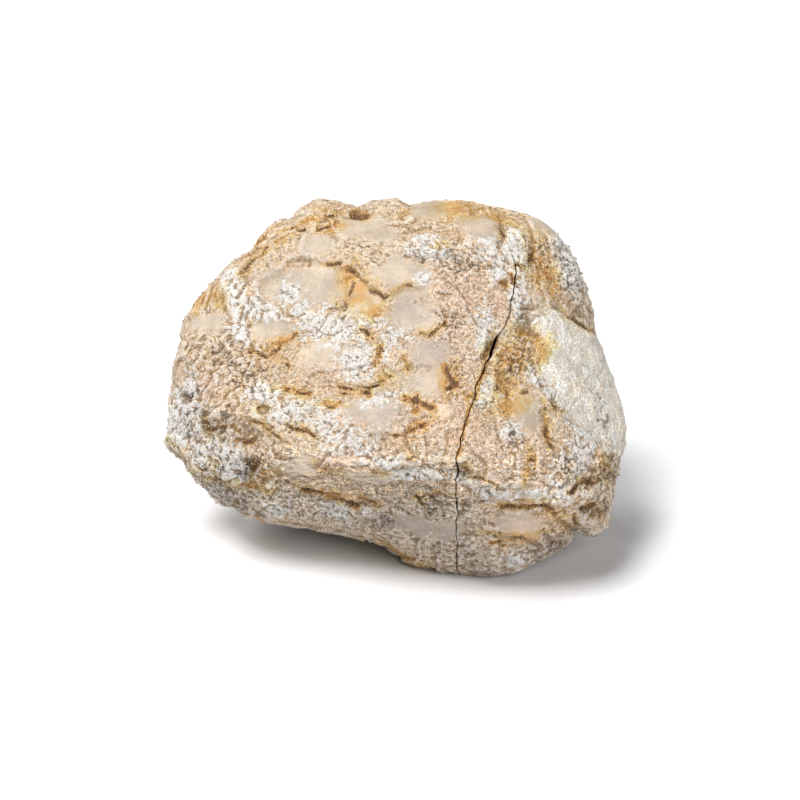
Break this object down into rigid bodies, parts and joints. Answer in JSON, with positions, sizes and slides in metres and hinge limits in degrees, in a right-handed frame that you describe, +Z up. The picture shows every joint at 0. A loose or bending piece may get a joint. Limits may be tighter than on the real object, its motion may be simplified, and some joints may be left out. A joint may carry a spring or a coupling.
{
  "type": "broken calcite geode",
  "caption": "Closed calcite geode with a rough tan and white rind, broken through into two matching pieces that stand together on a small flat spot.",
  "frame": {"origin": "on the surface that the stone stands on, under the middle of its box", "axes": "+Z up, +X along the longest side with the smaller piece at the +X end, and -Y towards the display side"},
  "size_m": [0.1081, 0.0862, 0.0746],
  "materials": {
    "larger_piece": "rough, sugary crystal crust with smooth patches",
    "smaller_piece": "rough, sugary crystal crust with smooth patches"
  },
  "bodies": {
    "root": {"larger_piece": "larger_piece", "smaller_piece": "smaller_piece"}
  },
  "joints": []
}
